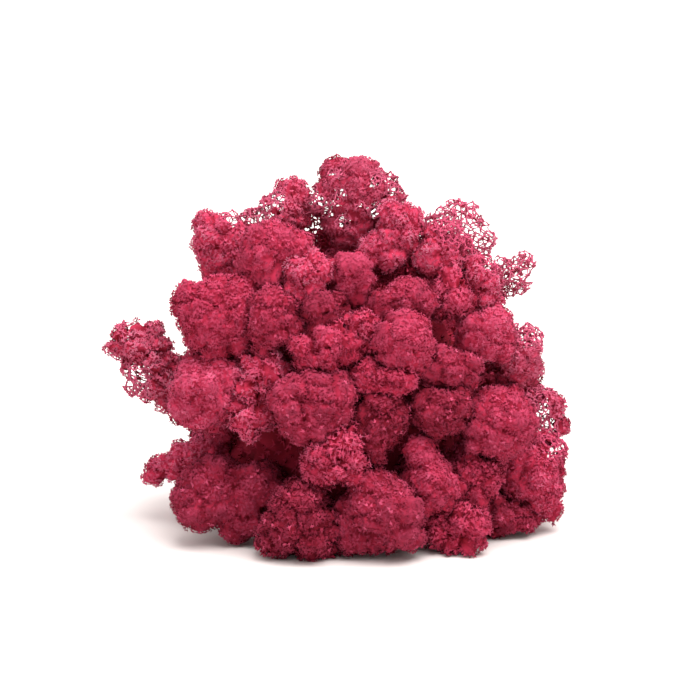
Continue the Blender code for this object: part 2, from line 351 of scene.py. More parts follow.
# A fine long twig that lies on the skin: its radius, its least and greatest length and lean away
# from the skin, its height above the whorl, its levels at both ends and how much paler it is
WISP_RADIUS = 0.12
WISP_LENGTH = (0.8, 1.9)
WISP_LEAN = (0.2, 0.9)
WISP_LIFT = 0.2
WISP_LEVELS = (0.85, 0.97)
WISP_PALER = 0.2

# How much flatter than wide the knobs are, how unlike they are in height, how far their borders
# wander in millimetres, the size and depth of the buds on them as shares of a knob's, and the
# depth of the folds between the heads of a big plant
LAYERING = 1.25
KNOB_VARIATION = 0.5
WANDER = 2.2
BUD_SIZE = 0.42
BUD_DEPTH = 0.45
HEAD_DEPTH = 3.2

# How far a knob's top rises and the fold beside it drops, as shares of the fold's depth, how
# narrow the folds are, how much painted shade they get, and the depth in millimetres at which
# that painted shade is strongest
KNOB_RISE = 0.4
FOLD_DROP = 1.4
FOLD_POWER = 3
FOLD_SHADE_STRENGTH = 0.6
FULL_FOLD_SHADE_DEPTH = 1.5

# Random places tried for the knobs, how far below a knob its twigs part as a share of its width,
# and how much a twig keeps of the heading that larger knobs give it
KNOB_TRIALS = 3000
ANCHOR_DEPTH = 0.8
HEADING_KEPT = 0.35

# Waves in a metre: of the wandering borders, of lumps, bumps and grain, and of pits and groups of
# pits; and how strong the finer ones are
WANDER_WAVES = 190
LUMP_WAVES = 85
BUMP_WAVES = 220
GRAIN_WAVES = 520
PIT_WAVES = 560
PIT_GROUP_WAVES = 170
BUMP_SHARE = 0.4
GRAIN_HEIGHT = 0.5
PIT_GROUP_SHARE = 0.6

# How much darker the mat is than the tips, partly its own colour and partly painted shade, and
# the painted shade of the folds between knobs
MAT_TONE = 0.08
FOLD_SHADE = 0.24

# The mat: how much wider its pits are than the gaps above them, how steep and deep they are and
# how much painted shade darkens them, how much it is painted paler with each millimetre outwards
# and darker with each inwards, as painted light and shade, and the most of that, and its range of
# levels
PIT_WIDENING = 1.3
PIT_STEEPNESS = 12
PIT_DEPTH = 1.2
PIT_SHADE = 0.2
MAT_PAINTED_SHADING = 0.05
MAT_PAINTED_SHADING_RANGE = (-0.2, 0.1)
MAT_LEVELS = (0.1, 0.75)

# The skins: how often they are rounded off, on the back plants and on the others, how near to
# each other points are to be welded, and how high above the ground skin and twigs stay
BACK_ROUNDING = 1
ROUNDING = 2
WELD_DISTANCE = 0.02
SKIN_CLEARANCE = 0.3
TWIG_CLEARANCE = 0.1

# Growth across the gap to a neighbour: its share of the gap, the most it may be, the widest such
# gap, how far before the skin it is measured from, and how often it is evened out
MEETING_SHARE = 0.48
MEETING_GROWTH = 2.6
MEETING_REACH = 9.0
MEETING_START = 0.2
MEETING_ROUNDS = 4

# Rays from a place on the skin tell how much light it gets: how far before the skin they start,
# how much they lean outwards, the lowest that counts, and how far they have to be free
EXPOSURE_RAYS = 14
EXPOSURE_START = 1.2
EXPOSURE_LEAN = 1.05
EXPOSURE_LOWEST = -0.35
EXPOSURE_REACH = 30.0

# Light decides how closely the whorls stand. None grow where too few rays are free, unless a
# hollow of some depth lies before the place. Shade thins them, and does so less at a hollow
HIDDEN_BELOW = 0.04
LIGHT_GAIN = 1.6
SHADE_THINNING = 0.7
THINNING_POWER = 1.5
HOLLOW_DEPTH = 3.5
HOLLOW_LEAST = 0.4
HOLLOW_FILLING = 0.6


def chance(node, purpose):
    """The random numbers for one purpose in one plant."""
    return np.random.default_rng([SEED, *f"{node} {purpose}".encode()])


def kind_of(node):
    if node == "stem_tangle":
        return "matted"
    if "back" in node or node == "crown_tuft_4":
        return "back"
    for kind, nodes in KINDS.items():
        if node in nodes:
            return kind
    return "knobbly"


def unit(vectors):
    return vectors / np.maximum(np.linalg.norm(vectors, axis=-1, keepdims=True), 1e-12)


def smooth_skin(node):
    """The node's solid, welded and rounded off: points, normals and triangles."""
    welded = bmesh.new()
    welded.from_mesh(frame["nodes"][node].data)
    bmesh.ops.remove_doubles(welded, verts=welded.verts, dist=WELD_DISTANCE * MM)
    corners = np.array([tuple(vertex.co) for vertex in welded.verts])
    rounded = bpy.data.objects.new("rounded", bpy.data.meshes.new("rounded"))
    welded.to_mesh(rounded.data)
    welded.free()
    bpy.context.scene.collection.objects.link(rounded)
    rounding = rounded.modifiers.new("rounding", "SUBSURF")
    rounding.levels = BACK_ROUNDING if kind_of(node) == "back" else ROUNDING
    rounding.render_levels = rounding.levels
    depsgraph = bpy.context.evaluated_depsgraph_get()
    mesh = rounded.evaluated_get(depsgraph).to_mesh()
    mesh.calc_loop_triangles()
    points = np.empty(len(mesh.vertices) * 3)
    mesh.vertices.foreach_get("co", points)
    normals = np.empty(len(mesh.vertices) * 3)
    mesh.vertices.foreach_get("normal", normals)
    triangles = np.empty(len(mesh.loop_triangles) * 3, int)
    mesh.loop_triangles.foreach_get("vertices", triangles)
    points, normals = points.reshape(-1, 3), normals.reshape(-1, 3)
    copied = rounded.data
    bpy.data.objects.remove(rounded)
    bpy.data.meshes.remove(copied)
    centre = corners.mean(axis=0)
    shrink = (np.linalg.norm(corners - centre, axis=1).mean()
              / np.linalg.norm(points[:len(corners)] - centre, axis=1).mean())
    points = centre + (points - centre) * shrink
    points[:, 2] = np.maximum(points[:, 2], SKIN_CLEARANCE * MM)
    return points, normals, triangles.reshape(-1, 3)


def grown(skin, shape):
    """The skin after its plant has grown out to meet its neighbours."""
    points, normals, triangles = skin
    growth = np.zeros(len(points))
    for number, (point, normal) in enumerate(zip(points, normals)):
        start = Vector(point + normal * (MEETING_START * MM))
        _, _, _, gap = shape.ray_cast(start, Vector(normal), MEETING_REACH * MM)
        if gap is not None:
            growth[number] = min(MEETING_SHARE * gap, MEETING_GROWTH * MM)
    sides = np.concatenate([triangles[:, [0, 1]], triangles[:, [1, 2]], triangles[:, [2, 0]]])
    meets = np.bincount(sides.ravel(), minlength=len(points))
    for _ in range(MEETING_ROUNDS):
        spread = np.bincount(sides[:, 0], growth[sides[:, 1]], len(points))
        spread += np.bincount(sides[:, 1], growth[sides[:, 0]], len(points))
        growth = 0.5 * growth + 0.5 * spread / meets
    points = points + normals * growth[:, None]
    points[:, 2] = np.maximum(points[:, 2], SKIN_CLEARANCE * MM)
    return points, normals, triangles


def one_shape(skins):
    """All skins as one shape that rays can be sent against."""
    points, triangles, total = [], [], 0
    for skin_points, _, skin_triangles in skins.values():
        points.append(skin_points)
        triangles.append(skin_triangles + total)
        total += len(skin_points)
    return BVHTree.FromPolygons(np.concatenate(points).tolist(),
                                np.concatenate(triangles).tolist())


def open_sky(points, normals, shape, rng):
    """For each point the share of rays that leave the clump, and 1 if a hollow lies before it."""
    around = unit(rng.normal(size=(EXPOSURE_RAYS, 3)))
    shares = np.zeros((len(points), 2))
    for number, (point, normal) in enumerate(zip(points, normals)):
        start = Vector(point + normal * (EXPOSURE_START * MM))
        for ray in unit(around + normal * EXPOSURE_LEAN):
            if ray[2] < EXPOSURE_LOWEST:
                continue
            if shape.ray_cast(start, Vector(ray), EXPOSURE_REACH * MM)[0] is None:
                shares[number, 0] += 1 / EXPOSURE_RAYS
        if shape.ray_cast(start, Vector(normal), HOLLOW_DEPTH * MM)[0] is None:
            shares[number, 1] = 1
    return shares


def scatter(points, normals, triangles, shares, count, rng):
    """Random places on a skin, with their normals and shares of open sky."""
    corners = points[triangles]
    areas = np.linalg.norm(np.cross(corners[:, 1] - corners[:, 0],
                                    corners[:, 2] - corners[:, 0]), axis=1) / 2
    chosen = rng.choice(len(triangles), count, p=areas / areas.sum())
    weights = rng.random((count, 2))
    weights = np.where(weights.sum(axis=1, keepdims=True) > 1, 1 - weights, weights)
    weights = np.column_stack([1 - weights.sum(axis=1), weights])[:, :, None]
    picked = triangles[chosen]
    places = (points[picked] * weights).sum(axis=1)
    facing = unit((normals[picked] * weights).sum(axis=1))
    return places, facing, (shares[picked] * weights).sum(axis=1)


def tree_of(places):
    tree = KDTree(len(places))
    for number, place in enumerate(places):
        tree.insert(place, number)
    tree.balance()
    return tree


def ties_between(places, reach=math.inf):
    """Pairs of places that lie next to each other."""
    tree = tree_of(places)
    pairs = {(min(number, other), max(number, other)) for number, place in enumerate(places)
             for _, other, away in tree.find_n(place, NET_TIES + 1)[1:] if away < reach}
    return np.array(sorted(pairs)).T


def thin_out(places, spacings):
    """Keeps places in order, dropping each one that is too near to one already kept."""
    tree = tree_of(places)
    spacings = np.broadcast_to(spacings, len(places))
    free = np.ones(len(places), bool)
    kept = []
    for number, place in enumerate(places):
        if free[number]:
            kept.append(number)
            for _, other, _ in tree.find_range(place, spacings[number]):
                free[other] = False
    return np.array(kept, int)


class Relief:
    """The small knobs, folds and pits of one plant's skin."""

    def __init__(self, skin, habit, rng):
        points, normals, triangles = skin
        self.habit = habit
        self.shift = Vector(rng.random(3) * 10)
        sizes = [habit["knob"], habit["knob"] * BUD_SIZE]
        self.depths = [habit["crevice"], habit["crevice"] * BUD_DEPTH]
        if habit["head"]:
            sizes.insert(0, habit["head"])
            self.depths.insert(0, HEAD_DEPTH)
        self.layers = []
        for size in sizes:
            places, facing, _ = scatter(points, normals, triangles, normals, KNOB_TRIALS, rng)
            kept = thin_out(places, size * MM)
            heads = places[kept]
            self.layers.append((heads, heads - facing[kept] * size * ANCHOR_DEPTH * MM,
                                rng.normal(size=len(heads)) * KNOB_VARIATION))

    def lift(self, places, facing):
        """For each place: how far it moves out, its twigs' heading, knob, fold value (how much
        painted shade its fold gives) and pit value.
        """
        moved, folds = np.zeros(len(places)), np.zeros(len(places))
        heading = facing
        stretch = np.array([1.0, 1.0, LAYERING])
        wander = [noise.noise_vector(Vector(place) * WANDER_WAVES + self.shift)
                  for place in places]
        wandered = places + np.array(wander).reshape(-1, 3) * WANDER * MM
        for (heads, anchors, lifts), depth in zip(self.layers, self.depths):
            gaps = np.linalg.norm((wandered[:, None, :] - heads[None, :, :]) * stretch, axis=2)
            knob = gaps.argmin(axis=1)
            if len(heads) > 2:
                ranked = np.partition(gaps, 1, axis=1)
                edge = (ranked[:, 0] / np.maximum(ranked[:, 1], 1e-9)) ** FOLD_POWER
                moved += (KNOB_RISE + lifts[knob] * (1 - edge) - FOLD_DROP * edge) * depth * MM
                # Painted shade: the deeper the fold, the darker the moss in it
                folds += FOLD_SHADE_STRENGTH * edge * min(1.0, depth / FULL_FOLD_SHADE_DEPTH)
            heading = unit(places - anchors[knob]) + HEADING_KEPT * heading
        rough, pits = [], []
        for place in places:
            spot = Vector(place)
            lump = noise.noise(spot * LUMP_WAVES + self.shift) * self.habit["lumps"]
            bump = noise.noise(spot * BUMP_WAVES - self.shift) * self.habit["lumps"] * BUMP_SHARE
            grain = noise.noise(spot * GRAIN_WAVES + self.shift) * GRAIN_HEIGHT
            rough.append(lump + bump + grain)
            pits.append(noise.noise(spot * PIT_WAVES - self.shift)
                        + PIT_GROUP_SHARE * noise.noise(spot * PIT_GROUP_WAVES + self.shift))
        return (moved + np.array(rough) * MM, unit(heading), knob, np.minimum(folds, 1),
                np.array(pits))


def openings_at(node, places):
    """The kind of net at each place where the light shows through a plant, or nothing."""
    found = np.full(len(places), "", dtype="<U8")
    if kind_of(node) == "open":
        found[:] = "open"
    spots = OPENINGS.get(node)
    if spots:
        low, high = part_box(node)
        behind = places[:, 1] - (low[1] + high[1]) / 2
        rise = places[:, 2] + behind * OPENING_SLOPE
        widening = np.where(behind > 0, BACK_WIDENING, 1.0)
        ragged = np.array([noise.noise(Vector((across, 0.0, up)) * RAGGED_WAVES)
                           for across, up in zip(places[:, 0], rise)])
        for across, up, radius, kind in spots:
            away = np.hypot(places[:, 0] / MM - across, rise / MM - up)
            reach = radius * widening * (1 + RAGGEDNESS * ragged)
            found[(away < reach) & (found == "")] = kind
    return found


def split(points, ways, rng):
    """Parts points into a few groups that lie near each other."""
    seeds = [points[rng.integers(len(points))]]
    for _ in range(ways - 1):
        gaps = np.min([((points - seed) ** 2).sum(axis=1) for seed in seeds], axis=0)
        seeds.append(points[gaps.argmax()])
    middles = np.array(seeds)
    for _ in range(SPLIT_ROUNDS):
        group = ((points[:, None, :] - middles[None, :, :]) ** 2).sum(axis=2).argmin(axis=1)
        for number in range(ways):
            if (group == number).any():
                middles[number] = points[group == number].mean(axis=0)
    return [np.flatnonzero(group == number) for number in range(ways) if (group == number).any()]


def grow(root, ends, rng):
    """Branches from the root to every end: their starts, stops, radii at both, the whorls that
    each carries, and the last fork before every end."""
    starts, stops, loads, lasts = [], [], [], np.zeros((len(ends), 3))
    waiting = [(np.asarray(root, float), np.arange(len(ends)), TRUNK_SHARE)]
    while waiting:
        start, group, share = waiting.pop()
        if len(group) == 1:
            starts.append(start)
            stops.append(ends[group[0]])
            loads.append(1)
            lasts[group[0]] = start
            continue
        middle = ends[group].mean(axis=0)
        stop = start + (middle - start) * share
        starts.append(start)
        stops.append(stop)
        loads.append(len(group))
        ways = min(len(group), FEWEST_WAYS + (rng.random() < 0.5))
        for part in split(ends[group], ways, rng):
            waiting.append((stop, group[part], FORK_SHARE * rng.uniform(*FORK_VARIATION)))
    starts, stops, loads = np.array(starts), np.array(stops), np.array(loads, float)
    radii = TWIG_RADIUS * loads ** THICKENING * MM
    return starts, stops, radii, radii * TWIG_TAPER, loads, lasts


def side_frame(along):
    """Two directions square to each of the given ones."""
    helper = np.where(np.abs(along[:, 2:3]) < 0.9, [[0.0, 0.0, 1.0]], [[1.0, 0.0, 0.0]])
    first = unit(np.cross(along, helper))
    return first, np.cross(along, first)


def round_about(across, aside, turns):
    """Directions in the plane of two others, at each turn from the first."""
    return (across[:, None, :] * np.cos(turns)[:, :, None]
            + aside[:, None, :] * np.sin(turns)[:, :, None])


class Mesh:
    """Gathers tubes, spikes, whorls and skin with their two texture values into one mesh."""

    def __init__(self):
        self.points, self.faces, self.values, self.facing, self.total = [], [], [], [], 0

    def add(self, points, faces, values, facing=None):
        self.points.append(points.reshape(-1, 3))
        self.faces.append(faces.reshape(-1, 3) + self.total)
        self.values.append(values.reshape(-1, 2))
        self.facing.append(np.zeros((points.size // 3, 3)) if facing is None
                           else facing.reshape(-1, 3))
        self.total += len(self.points[-1])

    def tubes(self, starts, stops, first_radii, last_radii, first_values, last_values,
              sides=THIN_SIDES):
        turns = np.arange(sides) * 2 * math.pi / sides
        ring = round_about(*side_frame(unit(stops - starts)), turns[None, :])
        low = starts[:, None, :] + ring * first_radii[:, None, None]
        high = stops[:, None, :] + ring * last_radii[:, None, None]
        points = np.concatenate([low, high], axis=1)
        here = np.arange(sides)
        after = (here + 1) % sides
        pattern = np.concatenate([np.stack([here, after, here + sides], axis=1),
                                  np.stack([after, after + sides, here + sides], axis=1)])
        faces = pattern[None] + (np.arange(len(starts)) * 2 * sides)[:, None, None]
        values = np.concatenate([np.repeat(first_values[:, None, :], sides, axis=1),
                                 np.repeat(last_values[:, None, :], sides, axis=1)], axis=1)
        self.add(points, faces, values)

    def spikes(self, starts, stops, radii, first_values, last_values):
        turns = np.arange(3) * 2 * math.pi / 3
        ring = round_about(*side_frame(unit(stops - starts)), turns[None, :])
        base = starts[:, None, :] + ring * radii[:, None, None]
        points = np.concatenate([base, stops[:, None, :]], axis=1)
        pattern = np.array([[0, 1, 3], [1, 2, 3], [2, 0, 3]])
        faces = pattern[None] + (np.arange(len(starts)) * 4)[:, None, None]
        values = np.concatenate([np.repeat(first_values[:, None, :], 3, axis=1),
                                 last_values[:, None, :]], axis=1)
        self.add(points, faces, values)

    def stars(self, centres, facing, habit, tone, folds, rng):
        """Whorls: short arms round a middle, each arm folded along its length."""
        count = len(centres)
        across, aside = side_frame(facing)
        turns = (rng.random((count, 1)) * 2 * math.pi
                 + (np.arange(ARMS)[None, :] + rng.normal(size=(count, ARMS)) * ARM_UNEVEN)
                 * 2 * math.pi / ARMS)
        tilt = np.radians(habit["spread"] + rng.normal(size=(count, ARMS)) * LEAN_VARIATION)
        reach = habit["tip"] * MM * rng.uniform(*ARM_LENGTHS, (count, ARMS))
        out = round_about(across, aside, turns)
        tips = (centres[:, None, :] + out * (reach * np.sin(tilt))[:, :, None]
                + facing[:, None, :] * (reach * np.cos(tilt))[:, :, None])
        between = round_about(across, aside, turns + math.pi / ARMS)
        webs = centres[:, None, :] + between * (habit["tip"] * WEB_SHARE * MM)
        height = habit["heart"] * MM * rng.uniform(*HEART_HEIGHTS, (count, 1))
        middles = centres + facing * height
        points = np.concatenate([middles[:, None, :], webs, tips], axis=1)
        pattern = []
        for arm in range(ARMS):
            before = (arm - 1) % ARMS
            pattern += [[0, 1 + before, 1 + ARMS + arm], [0, 1 + ARMS + arm, 1 + arm]]
        faces = np.array(pattern)[None] + (np.arange(count) * (1 + 2 * ARMS))[:, None, None]
        web_level = habit["depth"] + WEB_ABOVE_MAT
        depths = np.array([HEART_LEVEL] + [web_level] * ARMS + [ARM_LEVEL] * ARMS)
        # Painted shade: folds and deeper layers lower the levels; paler whorls come with negative
        # values
        depths = depths[None, :] - FOLD_SHADE * folds[:, None]
        values = np.stack([depths, np.broadcast_to(tone[:, None], depths.shape)], axis=2)
        self.add(points, faces, values, np.broadcast_to(facing[:, None, :], points.shape))

    def wisps(self, starts, facing, tone, rng):
        """Fine long twigs that lie nearly flat on the skin."""
        across, aside = side_frame(facing)
        turns = rng.random((len(starts), 1)) * 2 * math.pi
        lean = unit(across * np.cos(turns) + aside * np.sin(turns)
                    + facing * rng.uniform(*WISP_LEAN, (len(starts), 1)))
        stops = starts + lean * rng.uniform(*WISP_LENGTH, (len(starts), 1)) * MM
        low, high = (np.column_stack([np.full(len(starts), level), tone])
                     for level in WISP_LEVELS)
        self.spikes(starts, stops, np.full(len(starts), WISP_RADIUS * MM), low, high)

    def build(self, name, material):
        """One object of all that was gathered, with normals that soften the whorls."""
        points = np.concatenate(self.points)
        points[:, 2] = np.maximum(points[:, 2], TWIG_CLEARANCE * MM)
        faces = np.concatenate(self.faces)
        values = np.concatenate(self.values)
        mesh = bpy.data.meshes.new(name)
        mesh.vertices.add(len(points))
        mesh.vertices.foreach_set("co", points.astype(np.float32).ravel())
        mesh.loops.add(len(faces) * 3)
        mesh.loops.foreach_set("vertex_index", faces.ravel().astype(np.int32))
        mesh.polygons.add(len(faces))
        mesh.polygons.foreach_set("loop_start", (np.arange(len(faces)) * 3).astype(np.int32))
        layer = mesh.uv_layers.new(name="OFBake")
        layer.uv.foreach_set("vector", values[faces.ravel()].astype(np.float32).ravel())
        mesh.update(calc_edges=True)
        mesh.shade_smooth()
        facing = np.concatenate(self.facing)
        own = np.empty(len(points) * 3, np.float32)
        mesh.vertex_normals.foreach_get("vector", own)
        own = own.reshape(-1, 3)
        own[(own * facing).sum(axis=1) < 0] *= -1
        soft = unit(SOFTNESS * facing + (1 - SOFTNESS) * own)
        soft[(facing == 0).all(axis=1)] = 0
        mesh.normals_split_custom_set_from_vertices(soft)
        mesh.materials.append(material)
        piece = bpy.data.objects.new(name, mesh)
        bpy.context.scene.collection.objects.link(piece)
        return piece


def plant_tips(node, skin, shares, relief, habit):
    """Where a plant's tips are, which way they face, their knobs, folds and change of tone, with
    its painted shade.
    """
    points, normals, triangles = skin
    area_guess = 4 * math.pi * np.linalg.norm(points - points.mean(axis=0), axis=1).mean() ** 2
    count = int(area_guess / (habit["spacing"] * MM) ** 2 * TRIALS_PER_WHORL)
    places, facing, sky = scatter(points, normals, triangles, shares, count,
                                  chance(node, "tips"))
    lit = (sky[:, 0] > HIDDEN_BELOW) | (sky[:, 1] > HOLLOW_LEAST)
    seen = lit & (openings_at(node, places) == "")
    places, facing, sky = places[seen], facing[seen], sky[seen]
    moved, heading, knob, folds, pits = relief.lift(places, facing)
    places = places + facing * moved[:, None]
    edge = np.quantile(pits, 1 - habit["pits"])
    shut = pits <= edge
    shade = 1 - np.clip(sky[:, 0] * LIGHT_GAIN, 0, 1)
    thinned = SHADE_THINNING * shade ** THINNING_POWER * (1 - HOLLOW_FILLING * sky[:, 1])
    tone = RIM_TONE * np.clip(1 - (edge - pits) / RIM_WIDTH, 0, 1) * (habit["pits"] > 0)
    # Painted shade: moss that gets little light is given a darker tone
    tone += mottled(places) - PAINTED_SHADE_TONE * shade ** 2
    places, heading, knob, folds, thinned, tone = (values[shut] for values in
                                                   (places, heading, knob, folds, thinned, tone))
    kept = thin_out(places, habit["spacing"] * MM * (1 + thinned))
    return places[kept], heading[kept], knob[kept], folds[kept], tone[kept]


def tones(middle, count, spread, rng):
    """A number of tones about a middle one, which may be one for all or one for each."""
    return np.clip(middle + rng.normal(size=count) * spread, DARKEST, PALEST)


def mottled(places):
    """How much paler or darker the moss is at each place."""
    return MOTTLING * 2 * np.array([noise.noise(Vector(place) / (MOTTLE_SIZE * MM))
                                    for place in places])


def inner_mat(mesh, node, skin, relief, habit, plant_tone):
    """The mat of twigs just below the tips, too close to see between."""
    points, normals, triangles = skin
    moved, _, _, folds, pits = relief.lift(points, normals)
    edge = np.quantile(pits, 1 - PIT_WIDENING * habit["pits"])
    deep = np.clip((pits - edge) * PIT_STEEPNESS, 0, 1)
    moved = moved - (habit["mat"] + deep * PIT_DEPTH) * MM
    # Painted light and shade: the mat is paler where it stands out and darker in pits, folds and
    # recesses
    depth = habit["depth"] + np.clip(moved / MM * MAT_PAINTED_SHADING, *MAT_PAINTED_SHADING_RANGE)
    depth = np.clip(depth - deep * PIT_SHADE - FOLD_SHADE * folds, *MAT_LEVELS)
    closed = ~(openings_at(node, points) != "")[triangles].all(axis=1)
    used, faces = np.unique(triangles[closed], return_inverse=True)
    tone = tones(plant_tone - MAT_TONE, len(points), MAT_SPREAD, chance(node, "mat"))
    mesh.add((points + normals * moved[:, None])[used], faces.reshape(-1, 3),
             np.column_stack([depth, tone])[used])


def branch(mesh, start, ends, heaviest, tone_middle, rng):
    """Draws the branches from a start to every end, and gives the last fork before each. Those
    that carry more whorls than the heaviest aren't drawn."""
    starts, stops, low, high, loads, lasts = grow(start, ends, rng)
    depth = TWIG_LEVEL - FORK_LEVEL_STEP * np.log(loads) / math.log(FORK_WAYS)
    tone = tones(tone_middle, len(starts), TWIG_SPREAD, rng)
    values = np.column_stack([depth, tone])
    deeper = np.column_stack([np.maximum(depth - TWIG_LEVEL_STEP, LOWEST_LEVEL), tone])
    drawn = loads <= heaviest
    twigs = (loads == 1) & drawn
    mesh.spikes(stops[twigs], starts[twigs], high[twigs] * LAST_TWIG_SHARE, values[twigs],
                deeper[twigs])
    thin = drawn & (loads > 1) & (loads < MANY_WHORLS)
    thick = drawn & (loads >= MANY_WHORLS)
    for chosen, sides in ((thin, THIN_SIDES), (thick, THICK_SIDES)):
        if chosen.any():
            mesh.tubes(starts[chosen], stops[chosen], low[chosen], high[chosen],
                       deeper[chosen], values[chosen], sides)
    return lasts


def net(mesh, node, skin, relief, root, kind, plant_tone):
    """The open parts of a plant: whorls far apart, tied to each other by fine twigs."""
    rng = chance(node, f"{kind} net")
    points, normals, triangles = skin
    places, facing, _ = scatter(points, normals, triangles, normals, NET_TRIALS, rng)
    inside = openings_at(node, places) == kind
    if inside.sum() < NET_FEWEST:
        return
    net_spacing, net_radius, layers = NETS[kind]
    places, facing = places[inside], facing[inside]
    moved, heading, _, _, _ = relief.lift(places, facing)
    places = places + facing * moved[:, None]
    whorls, headings, layer_numbers = [], [], []
    for number, (below, share) in enumerate(layers):
        kept = thin_out(places, net_spacing * MM / math.sqrt(share))
        uneven = rng.uniform(-NET_UNEVEN, NET_UNEVEN, len(kept)) * (1 + below * NET_UNEVEN_BELOW)
        depth = (below + uneven) * MM
        whorls.append(places[kept] - facing[kept] * depth[:, None])
        headings.append(heading[kept])
        layer_numbers.append(np.full(len(kept), number))
        order = rng.permutation(len(places))
        places, facing, heading = places[order], facing[order], heading[order]
    whorls, headings = np.concatenate(whorls), np.concatenate(headings)
    layer_numbers = np.concatenate(layer_numbers)
    first, second = ties_between(whorls, NET_REACH * net_spacing * MM)
    net_tone = plant_tone + NET_PALER
    tone = tones(net_tone, len(first), NET_SPREAD, rng)
    radii = net_radius * MM * rng.uniform(*NET_RADII, len(first))
    # Painted shade: deeper layers get lower, darker levels
    level = NET_LEVEL - NET_LEVEL_STEP * layer_numbers
    bends = ((whorls[first] + whorls[second]) / 2
             + rng.normal(size=(len(first), 3)) * NET_BEND * MM)
    bent = np.column_stack([(level[first] + level[second]) / 2, tone])
    for ends in (first, second):
        mesh.tubes(whorls[ends], bends, radii * NET_END_SHARE, radii * NET_BEND_SHARE,
                   np.column_stack([level[ends], tone]), bent)
    mesh.stars(whorls, headings, NET_WHORL, tones(net_tone, len(whorls), NET_SPREAD, rng),
               NET_SHADE_STEP * layer_numbers, rng)
    budded = rng.random(len(bends)) < NET_BUDS
    mesh.stars(bends[budded], headings[first[budded]], dict(NET_WHORL, tip=NET_BUD_TIP),
               tones(net_tone, budded.sum(), NET_SPREAD, rng), np.zeros(budded.sum()), rng)
    stemmed = whorls[rng.random(len(whorls)) < NET_STEMS]
    if len(stemmed):
        branch(mesh, root, stemmed, math.inf, STEM_TONE, rng)


def veil(mesh, spot, middle, rng):
    """A screen of dark stems across a gap, tied to each other; their darkness is partly painted
    shade.
    """
    across, up, half_width, half_height = spot
    cloud = rng.uniform(-1, 1, (VEIL_TRIALS, 3))
    cloud = cloud[(cloud[:, 0] ** 2 + cloud[:, 2] ** 2) < 1]
    places = (np.array([across * MM, middle[1], up * MM])
              + cloud * np.array([half_width, VEIL_DEPTH, half_height]) * MM)
    ends = places[thin_out(places, VEIL_SPACING * MM)]
    first, second = ties_between(ends)
    tone = tones(VEIL_SHADE_TONE, len(first), VEIL_SPREAD, rng)
    radii = VEIL_RADIUS * MM * rng.uniform(*VEIL_RADII, len(first))
    level = rng.uniform(*VEIL_LEVELS, len(ends))
    mesh.tubes(ends[first], ends[second], radii, radii * VEIL_TAPER,
               np.column_stack([level[first], tone]), np.column_stack([level[second], tone]))


def make_plant(node, skin, shares, root, material):
    """One plant's whole mesh, in place of its solid."""
    habit = HABITS[kind_of(node)]
    relief = Relief(skin, habit, chance(node, "relief"))
    mesh = Mesh()
    height = skin[0][:, 2].mean() / cad_box[1][2]
    step = sum(step for step, nodes in TONE_STEPS if node in nodes)
    # Painted light and shade: plants higher up are paler and lower ones darker, as light falls from
    # above
    plant_tone = (chance(node, "tone").uniform(*TONE) + PAINTED_TOP_LIGHT * (height - 0.5)
                  + habit["tone"] + step)
    flecks = FLECKS + PALER_FLECKS * max(step, 0)
    lighter = PALER_LIGHT * max(step, 0)
    if habit["mat"]:
        places, facing, knob, folds, local = plant_tips(node, skin, shares, relief, habit)
        inner_mat(mesh, node, skin, relief, habit, plant_tone)
        anchors = relief.layers[-1][1]
        ends = places - facing * (habit["tip"] * WHORL_SINK * MM)
        for number in np.unique(knob):
            rng = chance(node, f"knob {number}")
            part = np.flatnonzero(knob == number)
            knob_tone = plant_tone + rng.normal() * KNOB_SPREAD
            lasts = branch(mesh, anchors[number], ends[part], habit["drawn"], knob_tone, rng)
            heading = unit(facing[part] + TWIG_PULL * unit(ends[part] - lasts))
            tips_tone = tones(knob_tone + local[part], len(part), WHORL_SPREAD, rng)
            pale = rng.random(len(part)) < flecks
            tips_tone[pale] = PALEST
            mesh.stars(ends[part], heading, habit, tips_tone,
                       folds[part] - FLECK_LIGHT * pale - lighter, rng)
            wispy = rng.random(len(part)) < habit["wisps"]
            mesh.wisps(ends[part][wispy] + facing[part][wispy] * WISP_LIFT * MM, heading[wispy],
                       np.clip(tips_tone[wispy] + WISP_PALER, 0, PALEST), rng)
    for kind in NETS:
        net(mesh, node, skin, relief, root, kind, plant_tone)
    for spot in VEILS.get(node, []):
        veil(mesh, spot, skin[0].mean(axis=0), chance(node, f"veil {spot}"))
    piece = mesh.build(node + "_moss", material)
    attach(piece, "root")
    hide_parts(node)
    return piece


